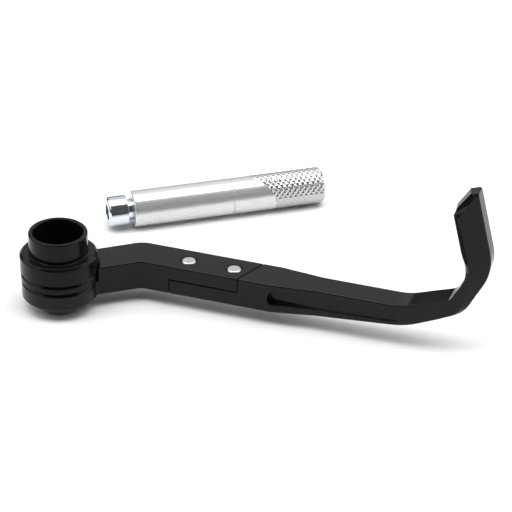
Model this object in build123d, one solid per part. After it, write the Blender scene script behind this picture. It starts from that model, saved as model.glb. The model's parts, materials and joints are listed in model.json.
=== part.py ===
"""Brake lever guard: bar-end bracket, hooked bow and the expanding anchor that holds them in the bar.

Z runs along the handlebar towards the rider's hand, X along the bow's arm.
The origin is on the bar's axis, at the outer face of the bracket's eye.
"""
import os
from math import atan2, ceil, cos, degrees, radians, sin, tan

from build123d import *

# Bar-end stack, measured along Z from the eye's outer face
EYE_DIAMETER = 28.2
EYE_HEIGHT = 11.5
EYE_CONE_HEIGHT = 5.4
EYE_LIP = 1.75
EYE_WEB = 2.0
SPACER_DIAMETER = 28.6
SPACER_HEIGHT = 3.5
FLANGE_DIAMETER = 29.0
FLANGE_HEIGHT = 7.8
FLANGE_CHAMFER = 0.9
SPIGOT_DIAMETER = 22.0
SPIGOT_HEIGHT = 8.3
SPIGOT_WALL = 1.75
SPIGOT_RIM = 0.4
HUB_WALL = 0.75
HUB_DEPTH = 1.65
HUB_FLOOR = 2.5
GROOVE_CHAMFER = 0.75

# Bracket's arm: it leaves the eye on a slant and cranks round to run along X
ARM_DEPTH = 14.3
ARM_BOTTOM = 5.5
ARM_HEIGHT = 11.8
ARM_CRANK_ANGLE = 37.4
ARM_CRANK_REACH = 31.8
ARM_OUTER_BEND = 9.0
ARM_INNER_BEND = 5.0
ARM_EDGE = 0.4
RELIEF_GAP = 0.4
RELIEF_CHAMFER = 0.4

# Lap joint between the arm and the bow
LAP_START = 38.6
LAP_LENGTH = 29.8
LAP_END_SLANT = 21.0
LAP_END_GAP = 0.3
LAP_SEAM_CHAMFER = 0.3
TONGUE_HEIGHT = 6.1
PIN_DIAMETER = 5.4
PIN_FIRST_INSET = 5.5
PIN_LAST_INSET = 6.4
PIN_SINK = 0.15
PIN_CHAMFER = 0.4
PIN_HOLE_CHAMFER = 0.6

# Bow: it narrows behind the lap, then runs straight with a tapering recess in its side
SHOULDER_LENGTH = 10.1
NECK_LENGTH = 17.0
RUN_LENGTH = 29.1
RUN_DEPTH = 10.7
NECK_HEIGHT = 10.9
RUN_END_HEIGHT = 8.6
RECESS_LEAD = 1.0
RECESS_TAIL = 2.3
RECESS_MARGIN = 2.2
RECESS_START_HEIGHT = 6.4
RECESS_END_HEIGHT = 4.7
RECESS_DEPTH = 0.8
RECESS_START_ROUND = 4.0
RECESS_CORNER = 1.9

# Bow: path of the hook, which kicks up, bends at the elbow and turns into the blade
KICK_ANGLE = 18.3
KICK_RADIUS = 27.3
RISE_LENGTH = 13.4
RISE_TAPER = 1.9
RISE_TAPER_LENGTH = 20.0
ELBOW_ANGLE = 43.5
ELBOW_RADIUS = 9.0
LINK_LENGTH = 9.8
TURN_ANGLE = 40.9
TURN_RADIUS = 18.5
STATION_SPACING = 1.6

# Bow: blade, which is the run's section rolled over and moved towards the front and the inner side
BLADE_ROLL = 72.3
BLADE_SHIFT = (-1.6, 2.5)
BLADE_FACE = 8.8
BLADE_BACK = 11.9
BLADE_THICKNESS = 6.2
BLADE_LENGTH = 14.6
BLADE_POINT = 8.6
BLADE_NOSE = 3.4
BLADE_NOSE_RADIUS = 1.2
BLADE_CORNER_RADIUS = 10.0
BLADE_BEVEL = 0.9

# Stretch of the hook's path over which each corner of the section moves to its place in the blade
OUTER_FRONT_MOVE = (16.3, 52.8)
OUTER_BACK_MOVE = (5.8, 23.6)
INNER_BACK_MOVE = (29.3, 47.3)
INNER_FRONT_MOVE = (35.0, 52.0)

# Expanding anchor
ANCHOR_DIAMETER = 14.4
ANCHOR_SLEEVE = 51.1
ANCHOR_WEDGE = 25.4
ANCHOR_SLANT = 39.0
ANCHOR_CHAMFER = 0.7
ANCHOR_TURN = 112.0
BOLT_DIAMETER = 8.0
BOLT_HEAD_DIAMETER = 12.0
BOLT_HEAD_HEIGHT = 7.6
BOLT_HEAD_CHAMFER = 0.7
BOLT_SOCKET = 6.0
BOLT_SOCKET_DEPTH = 4.0
BOLT_BACKED_OUT = 2.2
BOLT_END_MARGIN = 1.5

# Where the anchor lies beside the guard
ANCHOR_PLACE = (2.5, 64.6)
ANCHOR_HEADING = 35.1

# Clearances
FIT = 0.1
BOLT_CLEARANCE = 0.25

# Levels, radii and places worked out from the sizes above
ARM_TOP = ARM_BOTTOM + ARM_HEIGHT
LAP_Z = ARM_BOTTOM + TONGUE_HEIGHT
FLANGE_BASE = EYE_HEIGHT + SPACER_HEIGHT
SPIGOT_BASE = FLANGE_BASE + FLANGE_HEIGHT
SPIGOT_TOP = SPIGOT_BASE + SPIGOT_HEIGHT
HUB_BASE = EYE_HEIGHT - HUB_DEPTH
HEAD_POCKET = HUB_BASE - EYE_WEB
HEAD_POCKET_R = BOLT_HEAD_DIAMETER / 2 + BOLT_CLEARANCE
BOLT_HOLE_R = BOLT_DIAMETER / 2 + BOLT_CLEARANCE
SPIGOT_BORE_R = SPIGOT_DIAMETER / 2 - SPIGOT_WALL
HUB_R = SPIGOT_BORE_R + HUB_WALL
PIN_HOLE_R = PIN_DIAMETER / 2 + FIT / 2
ARM_Y = ARM_CRANK_REACH * sin(radians(ARM_CRANK_ANGLE))
CRANK_X = ARM_CRANK_REACH * cos(radians(ARM_CRANK_ANGLE))
ARM_FRONT = ARM_Y - ARM_DEPTH / 2
ARM_BACK = ARM_Y + ARM_DEPTH / 2
LAP_END = LAP_START + LAP_LENGTH
NECK_START = LAP_END + SHOULDER_LENGTH
NECK_END = NECK_START + NECK_LENGTH
RUN_END = NECK_END + RUN_LENGTH
RUN_FRONT = ARM_Y - RUN_DEPTH / 2
BLADE_HEADING = KICK_ANGLE + ELBOW_ANGLE + TURN_ANGLE
BASE = (Align.CENTER, Align.CENTER, Align.MIN)


def ring_section(points):
    """Solid turned about Z from the outline of its half section, as (radius, height) points."""
    return revolve(make_face(Polyline(*[(r, 0, z) for r, z in points], close=True)), Axis.Z)


def plan_prism(points, bottom, top):
    """Upright prism over a plan outline."""
    return extrude(Pos(0, 0, bottom) * make_face(Polyline(*points, close=True)), top - bottom)


def lap_end(y, gap=0.0):
    """X of the slanted end of the upper lap at a given Y."""
    return LAP_END + gap + (y - ARM_Y) * tan(radians(LAP_END_SLANT))


def pin_places():
    """Plan positions of the two lap pins, on the arm's centre line."""
    return [Pos(x, ARM_Y, 0) for x in (LAP_START + PIN_FIRST_INSET, LAP_END - PIN_LAST_INSET)]


def drill_for_pins(piece):
    """Cut the pin holes, countersunk at the arm's two faces, from one half of the lap."""
    rim_r = PIN_HOLE_R + PIN_HOLE_CHAMFER
    hole = ring_section([
        (0, ARM_BOTTOM), (rim_r, ARM_BOTTOM), (PIN_HOLE_R, ARM_BOTTOM + PIN_HOLE_CHAMFER),
        (PIN_HOLE_R, ARM_TOP - PIN_HOLE_CHAMFER), (rim_r, ARM_TOP), (0, ARM_TOP)])
    for place in pin_places():
        piece -= place * hole
    return piece


def ease_lap_seam(piece):
    """Chamfer the long edges of a lap half, so that the closed joint shows as a fine groove."""
    along = piece.edges().filter_by(Axis.X)
    return chamfer(along.filter_by(lambda edge: abs(edge.center().Z - LAP_Z) < FIT), LAP_SEAM_CHAMFER)


def make_arm():
    """Cranked arm as far as the slanted end of the lap, with eased edges."""
    slant = radians(ARM_CRANK_ANGLE)
    half = ARM_DEPTH / 2
    root_x = -sin(slant) * half
    root_y = cos(slant) * half
    turn = half * tan(slant / 2)
    front_corner = (CRANK_X + turn, ARM_FRONT)
    back_corner = (CRANK_X - turn, ARM_BACK)
    outline = make_face(Polyline(
        (-root_x, -root_y), front_corner, (lap_end(ARM_FRONT), ARM_FRONT),
        (lap_end(ARM_BACK), ARM_BACK), back_corner, (root_x, root_y), close=True))
    outline = fillet(outline.vertices().sort_by_distance(front_corner)[0], ARM_INNER_BEND)
    outline = fillet(outline.vertices().sort_by_distance(back_corner)[0], ARM_OUTER_BEND)
    arm = extrude(Pos(0, 0, ARM_BOTTOM) * outline, ARM_HEIGHT)
    rims = arm.faces().sort_by(Axis.Z)
    return chamfer(rims[0].edges() + rims[-1].edges(), ARM_EDGE)


def make_bracket():
    """Eye with its conical outer end, cranked arm and the upper half of the lap."""
    eye_r = EYE_DIAMETER / 2
    eye = ring_section([
        (0, 0), (HEAD_POCKET_R + EYE_LIP, 0), (eye_r, EYE_CONE_HEIGHT),
        (eye_r, EYE_HEIGHT - GROOVE_CHAMFER), (eye_r - GROOVE_CHAMFER, EYE_HEIGHT), (0, EYE_HEIGHT)])
    relief_r = FLANGE_DIAMETER / 2 + RELIEF_GAP
    relief = ring_section([
        (0, EYE_HEIGHT), (relief_r, EYE_HEIGHT), (relief_r, ARM_TOP - RELIEF_CHAMFER),
        (relief_r + RELIEF_CHAMFER, ARM_TOP), (0, ARM_TOP)])
    near = ARM_FRONT - ARM_DEPTH
    far = ARM_BACK + ARM_DEPTH
    under_lap = plan_prism(
        [(LAP_START, near), (NECK_START, near), (NECK_START, far), (LAP_START, far)], ARM_BOTTOM, LAP_Z)
    bore = ring_section([
        (0, 0), (HEAD_POCKET_R, 0), (HEAD_POCKET_R, HEAD_POCKET), (BOLT_HOLE_R, HEAD_POCKET),
        (BOLT_HOLE_R, HUB_BASE), (HUB_R + FIT, HUB_BASE), (HUB_R + FIT, EYE_HEIGHT), (0, EYE_HEIGHT)])
    body = make_arm() - relief + eye - bore - under_lap
    return drill_for_pins(ease_lap_seam(body))


def make_bar_end_sleeve():
    """Flanged sleeve: spigot towards the bar, hub down into the eye, floor for the bolt."""
    flange_r = FLANGE_DIAMETER / 2
    spigot_r = SPIGOT_DIAMETER / 2
    return ring_section([
        (BOLT_HOLE_R, HUB_BASE), (HUB_R, HUB_BASE), (HUB_R, FLANGE_BASE),
        (flange_r - GROOVE_CHAMFER, FLANGE_BASE), (flange_r, FLANGE_BASE + GROOVE_CHAMFER),
        (flange_r, SPIGOT_BASE - FLANGE_CHAMFER), (flange_r - FLANGE_CHAMFER, SPIGOT_BASE),
        (spigot_r, SPIGOT_BASE), (spigot_r, SPIGOT_TOP - SPIGOT_RIM), (spigot_r - SPIGOT_RIM, SPIGOT_TOP),
        (SPIGOT_BORE_R + SPIGOT_RIM, SPIGOT_TOP), (SPIGOT_BORE_R, SPIGOT_TOP - SPIGOT_RIM),
        (SPIGOT_BORE_R, HUB_BASE + HUB_FLOOR), (BOLT_HOLE_R, HUB_BASE + HUB_FLOOR)])


def make_spacer_ring():
    """Plain ring between the eye and the flange, with chamfered rims that make the two grooves."""
    outer = SPACER_DIAMETER / 2
    inner = HUB_R + FIT
    return ring_section([
        (inner, EYE_HEIGHT), (outer - GROOVE_CHAMFER, EYE_HEIGHT), (outer, EYE_HEIGHT + GROOVE_CHAMFER),
        (outer, FLANGE_BASE - GROOVE_CHAMFER), (outer - GROOVE_CHAMFER, FLANGE_BASE), (inner, FLANGE_BASE)])


def make_lap_pins():
    """Two steel pins through the lap, their ends just below the arm's faces."""
    pin = Pos(0, 0, ARM_BOTTOM + PIN_SINK) * Cylinder(PIN_DIAMETER / 2, ARM_HEIGHT - 2 * PIN_SINK, align=BASE)
    pin = chamfer(pin.edges().filter_by(GeomType.CIRCLE), PIN_CHAMFER)
    return Compound(children=[place * pin for place in pin_places()])


def cut_corners(points, size):
    """Outline with each corner replaced by a flat of the given size along both sides."""
    cut = []
    for i, corner in enumerate(points):
        before = points[i - 1]
        after = points[(i + 1) % len(points)]
        cut.append(corner + (before - corner).normalized() * size)
        cut.append(corner + (after - corner).normalized() * size)
    return cut


def box_corners(outer_width, inner_width, thickness):
    """Corners of a four-sided section: outer front, outer back, inner back and inner front."""
    return [
        Vector(-outer_width / 2, -thickness / 2), Vector(outer_width / 2, -thickness / 2),
        Vector(inner_width / 2, thickness / 2), Vector(-inner_width / 2, thickness / 2)]


def bow_plane(x, z, heading=0.0):
    """Plane across the bow: its x runs from front to back, its y to the inner side of the hook."""
    a = radians(heading)
    return Plane(origin=(x, ARM_Y, z), x_dir=(0, 1, 0), z_dir=(cos(a), 0, sin(a)))


def bow_section(plane, corners):
    """Section of the bow with flats on its corners."""
    return plane * make_face(Polyline(*cut_corners(corners, ARM_EDGE), close=True))


def run_section(x, depth, height):
    """Upright section of the bow, level with the arm's top."""
    return bow_section(bow_plane(x, ARM_TOP - height / 2), box_corners(depth, depth, height))


def make_run():
    """Neck that narrows from the arm's section, and the straight run as far as the hook."""
    return loft([
        run_section(NECK_START, ARM_DEPTH, ARM_HEIGHT), run_section(NECK_END, RUN_DEPTH, NECK_HEIGHT),
        run_section(RUN_END, RUN_DEPTH, RUN_END_HEIGHT)], ruled=True)


def make_recess():
    """Shallow pocket in the bow's front side, its floor set in from the run's front."""
    start = NECK_START - RECESS_LEAD
    end = RUN_END + RECESS_TAIL
    top = ARM_TOP - RECESS_MARGIN
    outline = make_face(Polyline(
        (start, top), (end, top), (end, top - RECESS_END_HEIGHT), (start, top - RECESS_START_HEIGHT), close=True))
    outline = fillet(outline.vertices().sort_by_distance((start, top))[0], RECESS_START_ROUND)
    sharp = outline.vertices().filter_by(lambda v: v.X > end - FIT or v.Y < top - RECESS_START_HEIGHT + FIT)
    outline = fillet(sharp, RECESS_CORNER)
    floor = Plane(origin=(0, RUN_FRONT + RECESS_DEPTH, 0), x_dir=(1, 0, 0), z_dir=(0, -1, 0))
    return extrude(floor * outline, ARM_DEPTH)


def hook_path():
    """Centre line of the hook in its own plane, as (X, Z): kick, rise, elbow, link, turn and blade."""
    kick = JernArc((RUN_END, ARM_TOP - RUN_END_HEIGHT / 2), (1, 0), KICK_RADIUS, KICK_ANGLE)
    rise = Line(kick @ 1, kick @ 1 + (kick % 1) * RISE_LENGTH)
    elbow = JernArc(rise @ 1, rise % 1, ELBOW_RADIUS, ELBOW_ANGLE)
    link = Line(elbow @ 1, elbow @ 1 + (elbow % 1) * LINK_LENGTH)
    turn = JernArc(link @ 1, link % 1, TURN_RADIUS, TURN_ANGLE)
    blade_length = BLADE_LENGTH + BLADE_POINT + BLADE_THICKNESS
    blade = Line(turn @ 1, turn @ 1 + (turn % 1) * blade_length)
    return [kick, rise, elbow, link, turn, blade]


def ease(distance, start, end):
    """Smooth step that leaves 0 at start and reaches 1 at end."""
    share = min(max((distance - start) / (end - start), 0.0), 1.0)
    return share * share * (3 - 2 * share)


def hook_corners(distance):
    """Corners of the hook's section at a distance along its path, each on its way from run to blade."""
    run = box_corners(RUN_DEPTH, RUN_DEPTH, RUN_END_HEIGHT)
    lift = Vector(0, RISE_TAPER * min(distance / RISE_TAPER_LENGTH, 1.0))
    run[:2] = [corner + lift for corner in run[:2]]
    blade = [
        corner.rotate(Axis.Z, -BLADE_ROLL) + Vector(*BLADE_SHIFT)
        for corner in box_corners(BLADE_FACE, BLADE_BACK, BLADE_THICKNESS)]
    moves = [OUTER_FRONT_MOVE, OUTER_BACK_MOVE, INNER_BACK_MOVE, INNER_FRONT_MOVE]
    return [a + (b - a) * ease(distance, *move) for a, b, move in zip(run, blade, moves)]


def make_hook():
    """Hook lofted along its path; its underside rolls round and becomes the blade's face."""
    path = hook_path()
    spine = Wire(path)
    steps = ceil(spine.length / STATION_SPACING)
    sections = []
    for i in range(steps + 1):
        distance = spine.length * i / steps
        place = spine.position_at(distance, PositionMode.LENGTH)
        direction = spine.tangent_at(distance, PositionMode.LENGTH)
        plane = bow_plane(place.X, place.Y, degrees(atan2(direction.Y, direction.X)))
        sections.append(bow_section(plane, hook_corners(distance)))
    return trim_blade(loft(sections, ruled=True), path[-1] @ 0)


def tip_outline(margin=0.0):
    """Blade's outline in its own plane, its sides moved out by a margin.

    It ends on the slant, with a rounded front corner and a blunt nose towards the back.
    """
    half = BLADE_BACK / 2
    side = half + margin
    tip = BLADE_LENGTH + BLADE_POINT
    nose = half - BLADE_NOSE
    corner = (-side, BLADE_LENGTH - margin * BLADE_POINT / (half + nose))
    outline = make_face(Polyline(
        (RUN_END, -RUN_END), (RUN_END, 0), (side, 0), (side, tip), (nose, tip), corner,
        (-side, 0), (-RUN_END, 0), (-RUN_END, -RUN_END), close=True))
    outline = fillet(outline.vertices().sort_by_distance(corner)[0], BLADE_CORNER_RADIUS)
    return fillet(outline.vertices().group_by(Axis.Y)[-1], BLADE_NOSE_RADIUS)


def trim_blade(hook, root):
    """Cut the blade to its slanted tip and bevel the tip on its outer face; root is where the blade starts."""
    upright = bow_plane(root.X, root.Y, BLADE_HEADING)
    across = Plane(upright.location * Pos(*BLADE_SHIFT) * Rot(0, 0, -BLADE_ROLL))
    middle = Plane(origin=across.origin, x_dir=across.x_dir, z_dir=-across.y_dir)
    hook &= extrude(middle * tip_outline(), RUN_END, both=True)
    level = middle.offset(BLADE_THICKNESS / 2 - BLADE_BEVEL)
    wide = level * tip_outline(2 * BLADE_BEVEL)
    return hook & (extrude(wide, -RUN_END) + extrude(wide, 2 * BLADE_BEVEL, taper=45))


def make_lap_half():
    """Bow's root: a tongue under the bracket's lap and the full-height shoulder behind its slanted end."""
    start = LAP_START + LAP_END_GAP
    section = run_section(start, ARM_DEPTH, ARM_HEIGHT)
    near = ARM_FRONT - ARM_DEPTH
    far = ARM_BACK + ARM_DEPTH
    upper_lap = plan_prism(
        [(0, near), (lap_end(near, LAP_END_GAP), near), (lap_end(far, LAP_END_GAP), far), (0, far)],
        LAP_Z, ARM_TOP)
    return ease_lap_seam(extrude(section, NECK_START - start) - upper_lap)


def make_bow():
    """Lower half of the lap, run with its recess, and hook in one piece."""
    return drill_for_pins(make_lap_half() + make_run() + make_hook() - make_recess())


def lay_down(piece):
    """Lay a piece of the anchor, made along +X, where it lies beside the guard."""
    place = Pos(*ANCHOR_PLACE, ANCHOR_DIAMETER / 2) * Rot(0, 0, ANCHOR_HEADING)
    return place * Rot(ANCHOR_TURN - 180, 0, 0) * piece


def rod(diameter, length, start=0.0):
    """Round bar along +X."""
    return Pos(start, 0, 0) * Rot(0, 90, 0) * Cylinder(diameter / 2, length, align=BASE)


def make_anchor_sleeve_and_wedge():
    """Sleeve and wedge nut, one bar cut on the slant: the sleeve clears the bolt, the wedge fits it."""
    total = ANCHOR_SLEEVE + ANCHOR_WEDGE
    bar = rod(ANCHOR_DIAMETER, total)
    bar = chamfer(bar.edges().filter_by(GeomType.CIRCLE), ANCHOR_CHAMFER)
    slant = radians(ANCHOR_SLANT)
    slope = Plane(origin=(ANCHOR_SLEEVE, 0, 0), z_dir=(cos(slant), 0, sin(slant)))
    sleeve = split(bar, slope, keep=Keep.BOTTOM) - rod(2 * BOLT_HOLE_R, total)
    wedge = split(bar, slope, keep=Keep.TOP) - rod(BOLT_DIAMETER + FIT, total)
    return lay_down(sleeve), lay_down(wedge)


def make_anchor_bolt():
    """Socket-head bolt through the anchor, backed out a little from the sleeve."""
    seat = -BOLT_BACKED_OUT
    head = rod(BOLT_HEAD_DIAMETER, BOLT_HEAD_HEIGHT, seat - BOLT_HEAD_HEIGHT)
    head = chamfer(head.edges().filter_by(GeomType.CIRCLE).sort_by(Axis.X)[0], BOLT_HEAD_CHAMFER)
    hexagon = RegularPolygon(BOLT_SOCKET / 2, 6, major_radius=False)
    socket = Pos(seat - BOLT_HEAD_HEIGHT, 0, 0) * Rot(0, 90, 0) * extrude(hexagon, BOLT_SOCKET_DEPTH)
    shank = rod(BOLT_DIAMETER, ANCHOR_SLEEVE + ANCHOR_WEDGE - BOLT_END_MARGIN - seat, seat)
    return lay_down(head + shank - socket)


def main():
    os.makedirs("parts", exist_ok=True)
    sleeve, wedge = make_anchor_sleeve_and_wedge()
    nodes = {
        "guard_bracket": make_bracket(),
        "guard_bow": make_bow(),
        "lap_pins": make_lap_pins(),
        "bar_end_sleeve": make_bar_end_sleeve(),
        "spacer_ring": make_spacer_ring(),
        "expander_bolt": make_anchor_bolt(),
        "expander_sleeve": sleeve,
        "expander_wedge": wedge,
    }
    for name, solid in nodes.items():
        export_step(solid, f"parts/{name}.step")


main()
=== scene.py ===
# %% [markdown]
# A brake lever guard keeps another rider's handlebar off a motorbike's front brake lever. Its bracket
# stands on the end of the handlebar, its bow runs in front of the lever and hooks up into a blade, and
# a silver expanding anchor holds the stack in the bar. Here the anchor is drawn out and lies behind.
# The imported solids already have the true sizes, so the lesson starts by loading them as a fixed frame:
# nothing that Blender does may move or resize them.

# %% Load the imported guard
import json
import math
from types import SimpleNamespace

import bmesh
import bpy
from mathutils import Matrix, Vector


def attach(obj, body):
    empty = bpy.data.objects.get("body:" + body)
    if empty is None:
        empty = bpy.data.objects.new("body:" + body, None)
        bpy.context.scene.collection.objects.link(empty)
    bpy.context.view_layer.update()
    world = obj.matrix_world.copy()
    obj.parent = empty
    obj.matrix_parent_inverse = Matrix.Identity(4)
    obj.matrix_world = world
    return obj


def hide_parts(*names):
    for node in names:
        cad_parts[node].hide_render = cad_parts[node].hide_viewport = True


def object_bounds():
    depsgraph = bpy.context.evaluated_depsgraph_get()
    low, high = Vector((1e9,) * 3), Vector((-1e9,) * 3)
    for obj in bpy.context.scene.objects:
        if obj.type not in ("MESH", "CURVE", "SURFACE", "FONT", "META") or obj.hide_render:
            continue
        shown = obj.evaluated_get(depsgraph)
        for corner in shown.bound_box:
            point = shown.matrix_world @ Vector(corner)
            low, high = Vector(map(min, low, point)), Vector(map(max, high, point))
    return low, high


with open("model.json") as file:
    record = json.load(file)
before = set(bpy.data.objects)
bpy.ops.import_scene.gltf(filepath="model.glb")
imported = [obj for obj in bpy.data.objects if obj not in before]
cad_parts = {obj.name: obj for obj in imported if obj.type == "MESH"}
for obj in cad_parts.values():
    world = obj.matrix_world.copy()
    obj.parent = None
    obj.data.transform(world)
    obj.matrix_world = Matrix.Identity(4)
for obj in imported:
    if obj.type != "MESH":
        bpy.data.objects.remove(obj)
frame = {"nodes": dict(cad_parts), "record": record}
cad_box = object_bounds()
nodes = frame["nodes"]
mounts = {mount["name"]: mount for mount in frame["record"]["mounts"]}
MM = 0.001
print("nodes:", ", ".join(sorted(nodes)))

# %% [markdown]
# The camera comes before any looks. The photograph was taken with a long lens: the ring stack's ellipses
# open by the sine of the camera's height, which gives the elevation, and the arm's direction gives the
# azimuth. A long focal length keeps edges nearly parallel, as they are there. The camera is then placed so
# that the frame's origin falls on its pixel.

# %% Camera at the photograph's angle
PHOTO_SIDE = 512
FOCAL_PIXELS = 3000
ORIGIN_PIXEL = (60.5, 303.9)
PIXEL_AT_ORIGIN = 0.373 * MM
VIEW_AZIMUTH = math.radians(20.1)
VIEW_ELEVATION = math.radians(30)
SENSOR_MM = 36
NEAR_CLIP = 10 * MM
FAR_CLIP = 50.0
UP = Vector((0, 0, 1))

level_ahead = Vector((-math.sin(VIEW_AZIMUTH), math.cos(VIEW_AZIMUTH), 0))
view_right = Vector((math.cos(VIEW_AZIMUTH), math.sin(VIEW_AZIMUTH), 0))
view_ahead = level_ahead * math.cos(VIEW_ELEVATION) - UP * math.sin(VIEW_ELEVATION)
view_up = view_right.cross(view_ahead)


def place_camera():
    """Stand the camera off along its own axes, so that the origin lands on its pixel."""
    camera = bpy.data.objects.new("camera", bpy.data.cameras.new("camera"))
    bpy.context.scene.collection.objects.link(camera)
    half = PHOTO_SIDE / 2
    to_origin = (
        view_right * (ORIGIN_PIXEL[0] - half) * PIXEL_AT_ORIGIN
        - view_up * (ORIGIN_PIXEL[1] - half) * PIXEL_AT_ORIGIN
        + view_ahead * FOCAL_PIXELS * PIXEL_AT_ORIGIN)
    axes = Matrix((view_right, view_up, -view_ahead)).transposed()
    camera.matrix_world = Matrix.Translation(-to_origin) @ axes.to_4x4()
    camera.data.sensor_width = SENSOR_MM
    camera.data.lens = SENSOR_MM * FOCAL_PIXELS / PHOTO_SIDE
    camera.data.clip_start = NEAR_CLIP
    camera.data.clip_end = FAR_CLIP
    bpy.context.scene.camera = camera
    print("camera stands at", [round(value, 3) for value in camera.location])


place_camera()

# %% [markdown]
# A finish is a small node tree. Every finish here starts from a Principled shader and adds a texture that
# varies its colour a little, and on the guard its roughness too. Most of them also have a fine bump.
# Numbers that are the same all over a surface are set straight on the shader's sockets. Coordinates come
# from the object, so a scale is a real size: a grain of 0.2 mm is noise of scale 1 / 0.0002.

# %% Start a finish


def new_finish(name, roughness, metallic=0.0, ior=1.5):
    """Material with one Principled shader; gives its node tree and the shader too."""
    material = bpy.data.materials.new(name)
    material.use_nodes = True
    shader = material.node_tree.nodes["Principled BSDF"]
    shader.inputs["Roughness"].default_value = roughness
    shader.inputs["Metallic"].default_value = metallic
    shader.inputs["IOR"].default_value = ior
    print("finish:", name)
    return material, material.node_tree, shader


def object_coordinates(tree):
    """Position on the piece, in metres."""
    return tree.nodes.new("ShaderNodeTexCoord").outputs["Object"]


def grain(tree, vector, size, detail=2.0):
    """Noise whose spots are about the given size."""
    noise = tree.nodes.new("ShaderNodeTexNoise")
    noise.inputs["Scale"].default_value = 1 / size
    noise.inputs["Detail"].default_value = detail
    tree.links.new(vector, noise.inputs["Vector"])
    return noise.outputs["Fac"]


# %% [markdown]
# Noise seldom reaches 0 or 1: most of it lies between 0.3 and 0.7. That middle range is stretched over the
# two values or the two colours that a finish varies between, so that both of them are really seen.

# %% Let a texture vary a finish
NOISE_LOW = 0.3
NOISE_HIGH = 0.7


def vary(tree, value, low, high, socket):
    """Feed a socket with a texture stretched between two values."""
    stretch = tree.nodes.new("ShaderNodeMapRange")
    stretch.inputs["From Min"].default_value = NOISE_LOW
    stretch.inputs["From Max"].default_value = NOISE_HIGH
    stretch.inputs["To Min"].default_value = low
    stretch.inputs["To Max"].default_value = high
    tree.links.new(value, stretch.inputs["Value"])
    tree.links.new(stretch.outputs["Result"], socket)


def tint(tree, value, dark, light, socket):
    """Feed a colour socket with a texture blended between two colours."""
    ramp = tree.nodes.new("ShaderNodeValToRGB")
    ramp.color_ramp.elements[0].position = NOISE_LOW
    ramp.color_ramp.elements[0].color = (*dark, 1)
    ramp.color_ramp.elements[1].position = NOISE_HIGH
    ramp.color_ramp.elements[1].color = (*light, 1)
    tree.links.new(value, ramp.inputs["Fac"])
    tree.links.new(ramp.outputs["Color"], socket)


def emboss(tree, value, depth, shader):
    """Bump a surface by a texture, depth being its height in metres."""
    bump = tree.nodes.new("ShaderNodeBump")
    bump.inputs["Distance"].default_value = depth
    tree.links.new(value, bump.inputs["Height"])
    tree.links.new(bump.outputs["Normal"], shader.inputs["Normal"])


# %% [markdown]
# The guard's black is anodising: a dyed oxide skin, almost black, over metal that was blasted or turned
# first. It isn't a metal to the eye, because light doesn't reach the metal, so the shader stays a plain
# dielectric with a satin gloss. Its colour is so dark that nearly all its tone is reflection, and a low
# index keeps that tone down. The bracket and the bow were blasted and get a fine dry grain.

# %% Blasted black of the bracket and the bow
BLASTED_IOR = 1.275
BLASTED_CLOUD = 14 * MM
BLASTED_DEPTH = 0.003 * MM
ROUGHNESS_SPREAD = 0.03


def blasted_black(name, dark, light, roughness, grain_size):
    """Anodised black over a blasted surface."""
    material, tree, shader = new_finish(name, roughness, ior=BLASTED_IOR)
    place = object_coordinates(tree)
    cloud = grain(tree, place, BLASTED_CLOUD, detail=4)
    tint(tree, cloud, dark, light, shader.inputs["Base Color"])
    vary(tree, cloud, roughness - ROUGHNESS_SPREAD, roughness + ROUGHNESS_SPREAD,
         shader.inputs["Roughness"])
    emboss(tree, grain(tree, place, grain_size), BLASTED_DEPTH, shader)
    return material


bracket_black = blasted_black(
    "bracket_black", dark=(0.004, 0.004, 0.0045), light=(0.0053, 0.0053, 0.0062),
    roughness=0.16, grain_size=0.16 * MM)
bow_black = blasted_black(
    "bow_black", dark=(0.004, 0.004, 0.0043), light=(0.0057, 0.0057, 0.0062),
    roughness=0.15, grain_size=0.2 * MM)

# %% [markdown]
# The ring stack was turned on a lathe before it was anodised, so its marks run round the bar's axis. Noise
# of the height alone draws them: it is the same all the way round, and changes from mark to mark.

# %% Turned black of the ring stack
TURNED_IOR = 1.235
LATHE_MARK = 0.25 * MM
LATHE_DEPTH = 0.001 * MM
LATHE_SPREAD = 0.04


def rings_along(tree, axis, size):
    """Noise that changes only along an axis, as the marks of a lathe tool do."""
    reach = tree.nodes.new("ShaderNodeVectorMath")
    reach.operation = "DOT_PRODUCT"
    reach.inputs[1].default_value = axis
    tree.links.new(object_coordinates(tree), reach.inputs[0])
    noise = tree.nodes.new("ShaderNodeTexNoise")
    noise.noise_dimensions = "1D"
    noise.inputs["Scale"].default_value = 1 / size
    noise.inputs["Detail"].default_value = 2.0
    tree.links.new(reach.outputs["Value"], noise.inputs["W"])
    return noise.outputs["Fac"]


def turned_black(name, dark, light, roughness):
    """Anodised black over a surface turned about the upright axis."""
    material, tree, shader = new_finish(name, roughness, ior=TURNED_IOR)
    marks = rings_along(tree, UP, LATHE_MARK)
    tint(tree, marks, dark, light, shader.inputs["Base Color"])
    vary(tree, marks, roughness - LATHE_SPREAD, roughness + LATHE_SPREAD, shader.inputs["Roughness"])
    emboss(tree, marks, LATHE_DEPTH, shader)
    return material


ring_black = turned_black(
    "ring_black", dark=(0.0032, 0.0032, 0.0035), light=(0.0046, 0.0046, 0.005), roughness=0.15)

# %% [markdown]
# The anchor's sleeve and wedge nut are bare drawn bar: fine scratches along it throw part of the light
# about in every direction, which a lower metallic share stands for, and that is why their dark bands are
# grey and not black. Noise of the position square to the axis doesn't change along the bar, so it draws
# those scratches. The axis comes from the record's grip mount.

# %% Drawn silver of the anchor
SCRATCH_SIZE = 0.6 * MM
anchor_grip = mounts["anchor_grip"]
anchor_axis = Vector(anchor_grip["axis"]).normalized()


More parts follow.
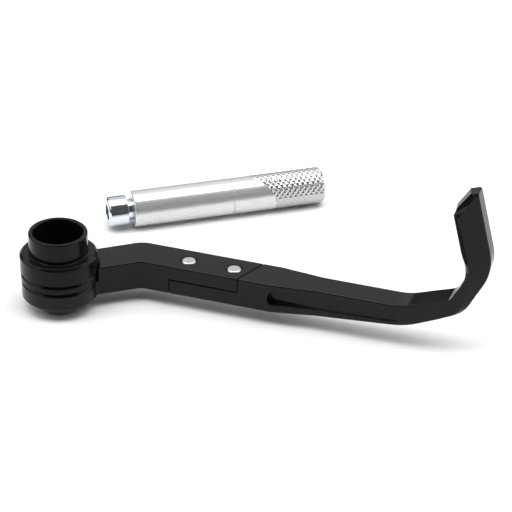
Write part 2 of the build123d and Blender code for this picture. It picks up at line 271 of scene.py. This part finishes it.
def square_to(tree, axis):
    """Position on the piece with its part along an axis taken away."""
    place = object_coordinates(tree)
    along = tree.nodes.new("ShaderNodeVectorMath")
    along.operation = "PROJECT"
    along.inputs[1].default_value = axis
    tree.links.new(place, along.inputs[0])
    across = tree.nodes.new("ShaderNodeVectorMath")
    across.operation = "SUBTRACT"
    tree.links.new(place, across.inputs[0])
    tree.links.new(along.outputs["Vector"], across.inputs[1])
    return across.outputs["Vector"]


def drawn_metal(name, dark, light, roughness, metal_share):
    """Bare drawn bar with fine scratches along the anchor's axis."""
    material, tree, shader = new_finish(name, roughness, metallic=metal_share)
    scratches = grain(tree, square_to(tree, anchor_axis), SCRATCH_SIZE, detail=3)
    tint(tree, scratches, dark, light, shader.inputs["Base Color"])
    vary(tree, scratches, roughness - ROUGHNESS_SPREAD, roughness + ROUGHNESS_SPREAD,
         shader.inputs["Roughness"])
    return material


sleeve_silver = drawn_metal(
    "sleeve_silver", dark=(0.66, 0.66, 0.67), light=(0.72, 0.72, 0.72), roughness=0.26, metal_share=0.68)
wedge_silver = drawn_metal(
    "wedge_silver", dark=(0.51, 0.51, 0.52), light=(0.58, 0.58, 0.58), roughness=0.22, metal_share=0.9)

# %% [markdown]
# The bolt is zinc plated and the two pins are smooth steel. Both mirror the room, so they are all metal to
# the shader. A faint cloudiness in the colour and the gloss keeps them from looking like chrome, and the
# zinc is a little blue.

# %% Smooth metal of the bolt and the pins
SMOOTH_CLOUD = 2.5 * MM
SMOOTH_GRAIN = 0.3 * MM
SMOOTH_DEPTH = 0.001 * MM
DULL_SPOTS = 0.05


def smooth_metal(name, dark, light, roughness):
    """Smooth metal with a faint cloudiness."""
    material, tree, shader = new_finish(name, roughness, metallic=1.0)
    cloud = grain(tree, object_coordinates(tree), SMOOTH_CLOUD, detail=4)
    tint(tree, cloud, dark, light, shader.inputs["Base Color"])
    vary(tree, cloud, roughness - ROUGHNESS_SPREAD, roughness + DULL_SPOTS, shader.inputs["Roughness"])
    emboss(tree, grain(tree, object_coordinates(tree), SMOOTH_GRAIN), SMOOTH_DEPTH, shader)
    return material


bolt_zinc = smooth_metal("bolt_zinc", dark=(0.66, 0.70, 0.75), light=(0.72, 0.76, 0.80), roughness=0.13)
pin_steel = smooth_metal("pin_steel", dark=(0.60, 0.60, 0.60), light=(0.67, 0.67, 0.66), roughness=0.30)

# %% [markdown]
# The bracket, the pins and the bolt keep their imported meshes, which may not be edited. A stack of
# modifiers may still work on top of them. Their triangles come in separate patches, so a weld joins the
# patches and a dissolve merges the triangles of each flat. A bevel then takes the sharpness off every real
# edge, as blasting, turning and plating do, and weighted normals let the flats shade flat and the facets
# of a curve as one.

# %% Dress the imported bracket, pins and bolt
WELD_DISTANCE = 0.002 * MM
FLAT_ANGLE = math.radians(0.6)
CREASE_ANGLE = math.radians(28)
EDGE_STEPS = 3
LARGE_FACES_FIRST = 100
ARM_EDGE_ROUND = 0.3 * MM
PIN_EDGE_ROUND = 0.15 * MM
BOLT_EDGE_ROUND = 0.2 * MM


def favour_flats(piece):
    """Let large faces decide the shading where they meet small rounds."""
    piece.modifiers.new("flat_faces_shade_flat", "WEIGHTED_NORMAL").weight = LARGE_FACES_FIRST


def join_flats(piece):
    """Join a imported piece's patches, and merge the triangles of each flat."""
    weld = piece.modifiers.new("join_patches", "WELD")
    weld.merge_threshold = WELD_DISTANCE
    flats = piece.modifiers.new("merge_flats", "DECIMATE")
    flats.decimate_type = "DISSOLVE"
    flats.angle_limit = FLAT_ANGLE


def round_edges(piece, edge_round, limit):
    """Round a piece's edges: all sharp ones by ANGLE, or by their own share with WEIGHT."""
    rounds = piece.modifiers.new("round_edges", "BEVEL")
    rounds.limit_method = limit
    rounds.angle_limit = CREASE_ANGLE
    rounds.width = edge_round
    rounds.segments = EDGE_STEPS
    rounds.use_clamp_overlap = False
    favour_flats(piece)
    print(piece.name, "has edges rounded by", round(edge_round / MM, 2), "mm")


def dress_packed(node_name, finish, edge_round):
    """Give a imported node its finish, rounded edges and smooth curves."""
    piece = nodes[node_name]
    piece.data.materials.clear()
    piece.data.materials.append(finish)
    piece.data.polygons.foreach_set("use_smooth", [True] * len(piece.data.polygons))
    join_flats(piece)
    round_edges(piece, edge_round, "ANGLE")


dress_packed("guard_bracket", bracket_black, ARM_EDGE_ROUND)
dress_packed("lap_pins", pin_steel, PIN_EDGE_ROUND)
dress_packed("expander_bolt", bolt_zinc, BOLT_EDGE_ROUND)

# %% [markdown]
# The flanged sleeve and the spacer ring were turned on a lathe, which leaves no sharp corner: each edge
# has a small round that catches the light. Their form is one half section spun about the bar's axis. The
# section isn't typed in again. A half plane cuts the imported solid, and the corners of the cut, in order,
# are the section. The cut crosses facets between two corners of the mesh, a hair inside the true radius,
# so each corner is set on the mesh's own nearest one.

# %% Read the half section of a turned solid
CUT_HEADING = math.radians(37)
STRAIGHT = math.radians(2)
PLACE_DIGITS = 6


def walk_round(edges):
    """Points of a closed chain of edges, in order."""
    first = edges[0]
    edge = first
    vertex = first.verts[0]
    points = []
    while not points or edge is not first:
        vertex = edge.other_vert(vertex)
        points.append(vertex.co.copy())
        edge = next(other for other in vertex.link_edges if other is not edge)
    return points


def half_plane_cut(solid, outward):
    """Points in order, as (radius, height), where the half plane from the Z axis outward cuts a solid."""
    everything = solid.verts[:] + solid.edges[:] + solid.faces[:]
    bmesh.ops.bisect_plane(
        solid, geom=everything, plane_co=(0, 0, 0), plane_no=outward.cross(UP),
        clear_inner=True, clear_outer=True)
    rim = [edge for edge in solid.edges if all(vertex.co.dot(outward) > 0 for vertex in edge.verts)]
    return [Vector((point.dot(outward), point.z)) for point in walk_round(rim)]


def nearest(places, point):
    """The one of some places that lies nearest to a point."""
    return min(places, key=lambda place: (place - point).length)


def half_section(node_name):
    """Corners, as (radius, height), of a solid turned about Z."""
    solid = bmesh.new()
    solid.from_mesh(nodes[node_name].data)
    bmesh.ops.remove_doubles(solid, verts=solid.verts, dist=WELD_DISTANCE)
    places = {
        (round(math.hypot(vertex.co.x, vertex.co.y), PLACE_DIGITS), round(vertex.co.z, PLACE_DIGITS))
        for vertex in solid.verts}
    true_corners = [Vector(place) for place in places]
    cut = half_plane_cut(solid, Vector((math.cos(CUT_HEADING), math.sin(CUT_HEADING), 0)))
    solid.free()
    corners = []
    for i, point in enumerate(cut):
        before = point - cut[i - 1]
        after = cut[(i + 1) % len(cut)] - point
        if before.angle(after) > STRAIGHT:
            corners.append(nearest(true_corners, point))
    return corners


flange_section = half_section("bar_end_sleeve")
spacer_section = half_section("spacer_ring")
print("section corners:", len(flange_section), "and", len(spacer_section))

# %% [markdown]
# To round a corner, the two sides are followed back by the same length, and an arc joins the two points.
# On a short side that length stops before the middle, so that two rounds never meet.

# %% Round the corners of a section
ROUND_STEPS = 4
MOST_OF_A_SIDE = 0.45
FLANGE_ROUND = 0.35 * MM
SPACER_ROUND = 0.2 * MM


def round_corners(section, radius):
    """Section whose corners are arcs, kept to less than half of the shorter side."""
    rounded = []
    for i, corner in enumerate(section):
        back = section[i - 1] - corner
        ahead = section[(i + 1) % len(section)] - corner
        opening = back.angle(ahead)
        reach = min(
            radius / math.tan(opening / 2), MOST_OF_A_SIDE * back.length, MOST_OF_A_SIDE * ahead.length)
        bisector = (back.normalized() + ahead.normalized()).normalized()
        centre = corner + bisector * reach / math.cos(opening / 2)
        start = corner + back.normalized() * reach - centre
        end = corner + ahead.normalized() * reach - centre
        sweep = math.pi - opening
        for step in range(ROUND_STEPS + 1):
            share = step / ROUND_STEPS
            arm = start * math.sin((1 - share) * sweep) + end * math.sin(share * sweep)
            rounded.append(centre + arm / math.sin(sweep))
    return rounded


flange_outline = round_corners(flange_section, FLANGE_ROUND)
spacer_outline = round_corners(spacer_section, SPACER_ROUND)
print("section points:", len(flange_outline), "and", len(spacer_outline))

# %% [markdown]
# Spinning the rounded section gives quads all the way round. The flats would shade as if they bulged,
# because their corners share normals with the rounds, so a weighted normal modifier lets the large faces
# decide.

# %% Spin the ring stack
SPIN_STEPS = 144


def new_piece(name, points, faces, finish, node_name):
    """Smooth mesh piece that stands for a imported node."""
    mesh = bpy.data.meshes.new(name)
    mesh.from_pydata(points, [], faces)
    mesh.polygons.foreach_set("use_smooth", [True] * len(mesh.polygons))
    mesh.materials.append(finish)
    piece = bpy.data.objects.new(name, mesh)
    bpy.context.scene.collection.objects.link(piece)
    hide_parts(node_name)
    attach(piece, "root")
    print(name, "has", len(faces), "faces")
    return piece


def ring_faces(rings, columns):
    """Quads between neighbouring rings of points, the last ring joined to the first."""
    faces = []
    for ring in range(rings):
        here = ring * columns
        ahead = (ring + 1) % rings * columns
        for column in range(columns):
            beside = (column + 1) % columns
            faces.append((here + column, here + beside, ahead + beside, ahead + column))
    return faces


def face_out(piece):
    """Turn all faces outwards."""
    work = bmesh.new()
    work.from_mesh(piece.data)
    bmesh.ops.recalc_face_normals(work, faces=work.faces)
    work.to_mesh(piece.data)
    work.free()


def spin(name, section, node_name):
    """Turned piece of the ring stack."""
    angles = [math.tau * step / SPIN_STEPS for step in range(SPIN_STEPS)]
    points = [
        (radius * math.cos(angle), radius * math.sin(angle), height)
        for radius, height in section for angle in angles]
    faces = ring_faces(len(section), SPIN_STEPS)
    piece = new_piece(name, points, faces, ring_black, node_name)
    face_out(piece)
    favour_flats(piece)


spin("turned_sleeve", flange_outline, "bar_end_sleeve")
spin("turned_spacer", spacer_outline, "spacer_ring")

# %% [markdown]
# A wide bevel runs along the blade's front edge and round its slanted end. It mirrors the bow's own black
# run, so it draws a dark line down the blade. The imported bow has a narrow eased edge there, and its mesh
# may not be edited, so a copy of it stands for the bow. First the copy's blade is measured: which way its
# face and its slanted end look, and where the crease lies in which the eased edge meets the side.

# %% Measure the blade
BLADE_FOOT = 44 * MM
LOOKS_THAT_WAY = 0.88
SAME_FLAT = math.radians(6)


def largest_facing(faces, toward):
    """Normal of the largest face that looks a given way."""
    facing = [face for face in faces if face.normal.dot(toward) > LOOKS_THAT_WAY]
    return max(facing, key=lambda face: face.calc_area()).normal.copy()


def front_crease(work, front, side):
    """Upper and lower end of the long edge where the blade's side meets its eased front edge."""
    rim = [edge for edge in work.edges
           if edge.calc_face_angle(0) > CREASE_ANGLE / 2
           and min(edge.verts[0].co.z, edge.verts[1].co.z) > BLADE_FOOT
           and any(face.normal.angle(side) < SAME_FLAT for face in edge.link_faces)]
    long_rim = sorted(rim, key=lambda edge: edge.calc_length())[-2:]
    crease = max(long_rim, key=lambda edge: edge.verts[0].co.dot(front))
    return sorted((vertex.co.copy() for vertex in crease.verts), key=lambda point: -point.z)


def measure_blade(work):
    """Directions of the blade's faces, its crease, and how far its end and its top reach."""
    faces = [face for face in work.faces if face.calc_center_median().z > BLADE_FOOT]
    corners = [vertex.co for face in faces for vertex in face.verts]
    front = largest_facing(faces, -view_ahead)
    side = largest_facing(faces, -view_right)
    top, foot = front_crease(work, front, side)
    down = (foot - top).normalized()
    outward = down.cross(front)
    end = largest_facing(faces, (outward - down).normalized())
    length = (foot - top).length
    print("blade's crease is", round(length / MM, 2), "mm long")
    return SimpleNamespace(
        front=front, outward=outward, down=down, end=end, crease_top=top, crease_length=length,
        end_level=max(corner.dot(end) for corner in corners),
        top_reach=min((corner - top).dot(down) for corner in corners))


# %% [markdown]
# A corner's place in the blade is how far it lies down from the crease's top, out from the crease, and
# ahead of it. Corners on the crease move out and back, which widens the bevel, and what lies on the side
# behind them is taken out to the new bevel. At the slanted end the move goes the way that the end looks.
# Each move has a share that fades out at the tip and at the blade's foot. The face and the far edge stay
# where they were.

# %% Move one corner of the blade
BEVEL_OUT = 1.35 * MM
BEVEL_BACK = 2.36 * MM
BEVEL_START = (-0.5 * MM, 0.38 * MM)
BEVEL_RUN_OUT = 2 * MM
TIP_FADE = 2.2 * MM
FOOT_FADE = 8 * MM
SIDE_FRONT = -0.36 * MM
SIDE_BACK = -4.95 * MM
END_OUT = 1.1 * MM
END_BACK = 1.9 * MM
END_ROUND = 0.4 * MM
END_FRONT = -0.55 * MM
CREASE_FRONT = 0.05 * MM
CREASE_REACH = 0.35 * MM


def smooth_step(share):
    """Rise from 0 to 1 with level ends."""
    share = min(max(share, 0), 1)
    return share * share * (3 - 2 * share)


def move_shares(blade, corner, reach):
    """Share that a corner takes of the side's move, and of the slanted end's."""
    run_out = reach - blade.crease_length - BEVEL_RUN_OUT
    side_share = smooth_step(1 + reach / TIP_FADE) * smooth_step(1 - run_out / FOOT_FADE)
    if corner.z < BLADE_FOOT:
        return side_share, 0
    below_end = blade.end_level - corner.dot(blade.end)
    end_share = smooth_step(1 - below_end / END_ROUND) * (1 - side_share)
    room_below_top = (reach - blade.top_reach) / (END_OUT * -blade.end.dot(blade.down))
    return side_share, end_share * min(room_below_top, 1)


def side_push(out, ahead, on_crease):
    """Move of a corner in the blade's section, out and ahead being its place from the old crease."""
    if on_crease:
        return BEVEL_OUT, -BEVEL_BACK
    start_out, start_ahead = BEVEL_START
    slope = (BEVEL_OUT - start_out) / (BEVEL_BACK + start_ahead)
    bevel_out = min(start_out + slope * (start_ahead - ahead), BEVEL_OUT)
    on_side = SIDE_BACK < ahead < SIDE_FRONT and start_out < out < bevel_out
    return (bevel_out - out if on_side else 0), 0


def bevel_move(blade, corner):
    """How a corner of the bow moves to widen the bevel."""
    reach = (corner - blade.crease_top).dot(blade.down)
    offset = corner - blade.crease_top - blade.down * reach
    out = offset.dot(blade.outward)
    ahead = offset.dot(blade.front)
    side_share, end_share = move_shares(blade, corner, reach)
    on_rim = END_FRONT < ahead < CREASE_FRONT
    on_crease = math.hypot(out, ahead) < CREASE_REACH or (on_rim and end_share > 0)
    out_move, ahead_move = side_push(out, ahead, on_crease)
    side_move = (blade.outward * out_move + blade.front * ahead_move) * side_share
    move = side_move + blade.end * END_OUT * end_share
    if on_rim:
        move -= blade.front * END_BACK * end_share
    return move


# %% [markdown]
# The run's triangles are merged into flats before its edges are rounded, as on the bracket. The rounding
# goes by weights, one for each edge: the run's edges take the full round, and the blade's only a little,
# because a full round would eat into its narrow faces.

# %% Bow with the blade's bevel
RUN_TOP = 20 * MM
BLADE_EDGE_SHARE = 0.2


def widen_bevel(work):
    """Move the corners beside the blade's front edge and slanted end."""
    blade = measure_blade(work)
    moved = 0
    for vertex in work.verts:
        move = bevel_move(blade, vertex.co)
        if move.length > 0:
            vertex.co += move
            moved += 1
    print("corners moved for the blade's bevel:", moved)


def on_run(edge):
    """Whether an edge lies on the bow's run, below the blade."""
    return max(vertex.co.z for vertex in edge.verts) < RUN_TOP


def edge_shares(work):
    """Share of the full rounding for each sharp edge, found by its two corners."""
    return {
        frozenset(vertex.index for vertex in edge.verts): 1 if on_run(edge) else BLADE_EDGE_SHARE
        for edge in work.edges if edge.calc_face_angle(0) > CREASE_ANGLE}


def make_bow():
    """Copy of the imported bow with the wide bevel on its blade."""
    work = bmesh.new()
    work.from_mesh(nodes["guard_bow"].data)
    bmesh.ops.remove_doubles(work, verts=work.verts, dist=WELD_DISTANCE)
    widen_bevel(work)
    run_edges = [edge for edge in work.edges if on_run(edge)]
    bmesh.ops.dissolve_limit(work, angle_limit=FLAT_ANGLE, edges=run_edges)
    work.verts.index_update()
    points = [tuple(vertex.co) for vertex in work.verts]
    faces = [tuple(vertex.index for vertex in face.verts) for face in work.faces]
    shares = edge_shares(work)
    work.free()
    piece = new_piece("bevelled_bow", points, faces, bow_black, "guard_bow")
    weights = piece.data.attributes.new("bevel_weight_edge", "FLOAT", "EDGE")
    weights.data.foreach_set(
        "value", [shares.get(frozenset(edge.vertices), 0) for edge in piece.data.edges])
    round_edges(piece, ARM_EDGE_ROUND, "WEIGHT")


make_bow()

# %% [markdown]
# The anchor is one round bar, cut on the slant into a plain sleeve and a knurled wedge nut. Its axis and
# radius come from the record's grip mount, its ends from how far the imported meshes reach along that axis,
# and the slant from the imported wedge's own sloping face.

# %% Measure the anchor
anchor_point = Vector(anchor_grip["pos_m"])
anchor_side = UP.cross(anchor_axis)
anchor_radius = anchor_grip["dims"]["r_mm"] * MM
SLOPE_SHARE = (0.5, 0.95)


def reaches_along(node_name):
    """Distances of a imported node's corners along the anchor, from the middle of its grip."""
    return [(vertex.co - anchor_point).dot(anchor_axis) for vertex in nodes[node_name].data.vertices]


def bore_radius(node_name):
    """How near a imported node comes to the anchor's axis."""
    offsets = [vertex.co - anchor_point for vertex in nodes[node_name].data.vertices]
    return min((offset - anchor_axis * offset.dot(anchor_axis)).length for offset in offsets)


def sloping_face():
    """Outward normal and a point of the wedge nut's slanted face, which looks back along the axis."""
    low, high = SLOPE_SHARE
    sloping = [face for face in nodes["expander_wedge"].data.polygons
               if low < -face.normal.dot(anchor_axis) < high]
    largest = max(sloping, key=lambda face: face.area)
    return largest.normal.copy(), largest.center.copy()


slope_normal, slope_point = sloping_face()
sleeve_start = min(reaches_along("expander_sleeve"))
sleeve_bore = bore_radius("expander_sleeve")
wedge_end = max(reaches_along("expander_wedge"))
wedge_bore = bore_radius("expander_wedge")
print("anchor from", round(sleeve_start / MM, 2), "to", round(wedge_end / MM, 2), "mm along its axis")

# %% [markdown]
# Both pieces are stacks of rings. A ring is a radius and a place along the axis, and at the cut that place
# depends on the angle, so that the ring lies on the slant. All the rings of a piece have the same number
# of points, so quads can join each ring to the next.

# %% Rings of the anchor


def spoke(angle):
    """Direction square to the anchor's axis."""
    return anchor_side * math.cos(angle) + UP * math.sin(angle)


def slope_reach(radius, angle):
    """Place along the axis where the slanted cut meets a radius at an angle."""
    middle_reach = slope_normal.dot(slope_point - anchor_point) / slope_normal.dot(anchor_axis)
    return middle_reach - radius * slope_normal.dot(spoke(angle)) / slope_normal.dot(anchor_axis)


def anchor_ring(columns, place_at, radius_at):
    """Points of one ring, its place and radius given as functions of the angle."""
    points = []
    for step in range(columns):
        angle = math.tau * step / columns
        points.append(anchor_point + anchor_axis * place_at(angle) + spoke(angle) * radius_at(angle))
    return points


def level_ring(columns, place, radius):
    """Ring square to the axis."""
    return anchor_ring(columns, lambda angle: place, lambda angle: radius)


def sloped_ring(columns, radius, shift=0.0):
    """Ring that lies on the slanted cut, or moved along the axis from it."""
    return anchor_ring(columns, lambda angle: slope_reach(radius, angle) + shift, lambda angle: radius)


def keep_crisp(piece):
    """Shade real edges as edges."""
    piece.modifiers.new("keep_edges_crisp", "EDGE_SPLIT").split_angle = CREASE_ANGLE


print("slanted cut on the axis at", round(slope_reach(0, 0) / MM, 2), "mm")

# %% [markdown]
# The sleeve's stack goes over its rounded end, along the outside with its scribed line, across the slanted
# cut and back through the bore. The line is a real V groove. Smooth shading would blur it away, so its
# edges and the cut's are split, and the large faces decide the shading of the rest.

# %% Plain sleeve of the anchor
SLEEVE_COLUMNS = 160
SLEEVE_END_ROUND = 0.9 * MM
SLEEVE_EDGE = 0.3 * MM
SCRIBE_PLACE = 39.7 * MM
SCRIBE_WIDTH = 0.5 * MM
SCRIBE_DEPTH = 0.22 * MM


def make_sleeve():
    """Plain sleeve with a rounded end, a scribed line and an eased slanted edge."""
    columns = SLEEVE_COLUMNS
    rings = [level_ring(columns, sleeve_start, sleeve_bore + SLEEVE_EDGE)]
    for step in range(ROUND_STEPS + 1):
        turn = math.pi / 2 * step / ROUND_STEPS
        place = sleeve_start + SLEEVE_END_ROUND * (1 - math.cos(turn))
        rings.append(level_ring(columns, place, anchor_radius - SLEEVE_END_ROUND * (1 - math.sin(turn))))
    scribe = sleeve_start + SCRIBE_PLACE
    rings.append(level_ring(columns, scribe - SCRIBE_WIDTH / 2, anchor_radius))
    rings.append(level_ring(columns, scribe, anchor_radius - SCRIBE_DEPTH))
    rings.append(level_ring(columns, scribe + SCRIBE_WIDTH / 2, anchor_radius))
    rings.append(sloped_ring(columns, anchor_radius, -SLEEVE_EDGE))
    rings.append(sloped_ring(columns, anchor_radius - SLEEVE_EDGE))
    rings.append(sloped_ring(columns, sleeve_bore))
    rings.append(level_ring(columns, sleeve_start + SLEEVE_EDGE, sleeve_bore))
    points = [point for ring in rings for point in ring]
    faces = ring_faces(len(rings), columns)
    piece = new_piece("anchor_sleeve", points, faces, sleeve_silver, "expander_sleeve")
    face_out(piece)
    keep_crisp(piece)
    favour_flats(piece)


make_sleeve()

# %% [markdown]
# A diamond knurl is two sets of V grooves that wind round the bar in opposite ways, and a diamond stands
# up between them, its top left flat. Bump alone would leave the outline smooth, so the grooves are cut
# into a fine mesh: the radius falls by the groove that is deeper at that point.

# %% Knurled wedge nut
KNURL_COLUMNS = 240
KNURL_ROWS = 168
KNURL_ROUND = 20
KNURL_PITCH = 2.1 * MM
KNURL_DEPTH = 0.3 * MM
KNURL_FLAT = 0.8
WEDGE_CHAMFER = 0.7 * MM
WEDGE_CUT_EDGE = 0.15 * MM


def peak(turns):
    """Triangle wave: 0 in the groove, 1 half a turn away."""
    return 1 - abs(2 * (turns % 1.0) - 1)


def knurl_radius(place, angle):
    """Radius of the knurled surface."""
    round_turns = KNURL_ROUND * angle / math.tau
    along_turns = place / KNURL_PITCH
    height = min(peak(round_turns + along_turns), peak(round_turns - along_turns), KNURL_FLAT)
    return anchor_radius - KNURL_DEPTH * (1 - height / KNURL_FLAT)


def knurled_ring(share):
    """Ring of the knurl, a share of the way from the slanted cut to the chamfer."""
    def place_at(angle):
        start = slope_reach(anchor_radius, angle) + WEDGE_CUT_EDGE
        return start + (wedge_end - WEDGE_CHAMFER - start) * share
    return anchor_ring(KNURL_COLUMNS, place_at, lambda angle: knurl_radius(place_at(angle), angle))


def make_wedge():
    """Wedge nut: slanted face, knurled outside, chamfered end, and a plain wall where its thread is."""
    columns = KNURL_COLUMNS
    foot = anchor_radius - KNURL_DEPTH
    rings = [sloped_ring(columns, wedge_bore), sloped_ring(columns, foot)]
    rings += [knurled_ring(row / KNURL_ROWS) for row in range(KNURL_ROWS + 1)]
    rings.append(level_ring(columns, wedge_end - WEDGE_CHAMFER, foot))
    rings.append(level_ring(columns, wedge_end, anchor_radius - WEDGE_CHAMFER - KNURL_DEPTH / 2))
    rings.append(level_ring(columns, wedge_end, wedge_bore))
    points = [point for ring in rings for point in ring]
    faces = ring_faces(len(rings), columns)
    piece = new_piece("anchor_wedge", points, faces, wedge_silver, "expander_wedge")
    face_out(piece)
    keep_crisp(piece)


make_wedge()

# %% [markdown]
# The guard lies on a wide white floor at the level of its lowest point. The floor is a disc far larger
# than the view, so that its rim is never seen, with a dull paper finish that is a little uneven.

# %% Floor
FLOOR_RADIUS = 12.0
FLOOR_SIDES = 96
FLOOR_ROUGHNESS = 0.8
FLOOR_CLOUD = 0.3
FLOOR_DARK = (0.89, 0.89, 0.89)
FLOOR_LIGHT = (0.91, 0.91, 0.91)
box_low, box_high = cad_box


def lay_floor():
    """White floor under the lowest point of the guard."""
    rim = [math.tau * step / FLOOR_SIDES for step in range(FLOOR_SIDES)]
    points = [
        (FLOOR_RADIUS * math.cos(angle), FLOOR_RADIUS * math.sin(angle), box_low.z) for angle in rim]
    mesh = bpy.data.meshes.new("floor")
    mesh.from_pydata(points, [], [tuple(range(FLOOR_SIDES))])
    floor = bpy.data.objects.new("floor", mesh)
    bpy.context.scene.collection.objects.link(floor)
    material, tree, shader = new_finish("floor_white", FLOOR_ROUGHNESS)
    cloud = grain(tree, object_coordinates(tree), FLOOR_CLOUD, detail=3)
    tint(tree, cloud, FLOOR_DARK, FLOOR_LIGHT, shader.inputs["Base Color"])
    mesh.materials.append(material)


lay_floor()
print("floor level", round(box_low.z / MM, 3), "mm")

# %% [markdown]
# A studio for a black product is built from what it reflects, so each panel has a job of its own. The
# overhead panel lights the floor and throws the soft shadow, and is kept out of the gloss. The panel
# called mirrored is seen only in the gloss: it draws the bright bands along the round parts. One panel
# can't do both, because the place that puts the bands right puts the shadow wrong. A dimmer ceiling panel
# stands lower, and lower still the one behind, which the level faces mirror at the camera's angle. The
# side panels light the blade's edges and lighten the shadow under the arm. The room on the camera's side
# stays dark, and that draws the dark bands along the anchor.

# %% Light panels
ROOM_LIGHT = 0.09
middle = (box_low + box_high) / 2


def hang_panel(name, turn, elevation, distance, size, radiance):
    """Soft panel that faces the guard, with its distance and size in metres.

    Its turn is its heading from straight behind the guard, and both angles are in degrees. Its brightness
    is a radiance, where 1 is paper white, so its power follows from its area.
    """
    level = level_ahead * math.cos(math.radians(turn)) + view_right * math.sin(math.radians(turn))
    rise = math.radians(elevation)
    toward = level * math.cos(rise) + UP * math.sin(rise)
    across = level.cross(UP).normalized()
    width, height = size
    panel = bpy.data.lights.new(name, "AREA")
    panel.shape = "RECTANGLE"
    panel.size = width
    panel.size_y = height
    panel.energy = radiance * math.pi * width * height
    lamp = bpy.data.objects.new(name, panel)
    bpy.context.scene.collection.objects.link(lamp)
    axes = Matrix((across, toward.cross(across), toward)).transposed()
    lamp.matrix_world = Matrix.Translation(middle + toward * distance) @ axes.to_4x4()
    lamp.visible_camera = False
    print(name, "gives", round(panel.energy, 1), "W")
    return lamp


def dim_room():
    """Even low light from the rest of the room."""
    world = bpy.data.worlds.new("room")
    world.use_nodes = True
    background = world.node_tree.nodes["Background"]
    background.inputs["Color"].default_value = (1, 1, 1, 1)
    background.inputs["Strength"].default_value = ROOM_LIGHT
    bpy.context.scene.world = world


overhead = hang_panel("overhead", turn=180, elevation=79, distance=2.0, size=(3.0, 1.08), radiance=4.7)
overhead.visible_glossy = False
mirrored = hang_panel("mirrored", turn=0, elevation=88, distance=2.0, size=(3.0, 0.9), radiance=5.4)
mirrored.visible_diffuse = False
hang_panel("ceiling", turn=0, elevation=62, distance=2.0, size=(3.0, 1.0), radiance=1.2)
hang_panel("behind", turn=0, elevation=32, distance=2.2, size=(3.6, 1.05), radiance=0.75)
hang_panel("left_side", turn=-90, elevation=34, distance=2.0, size=(2.6, 1.2), radiance=1.4)
hang_panel("right_side", turn=80, elevation=25, distance=2.0, size=(2.6, 1.6), radiance=1.6)
dim_room()
bpy.context.scene.view_settings.view_transform = "Standard"
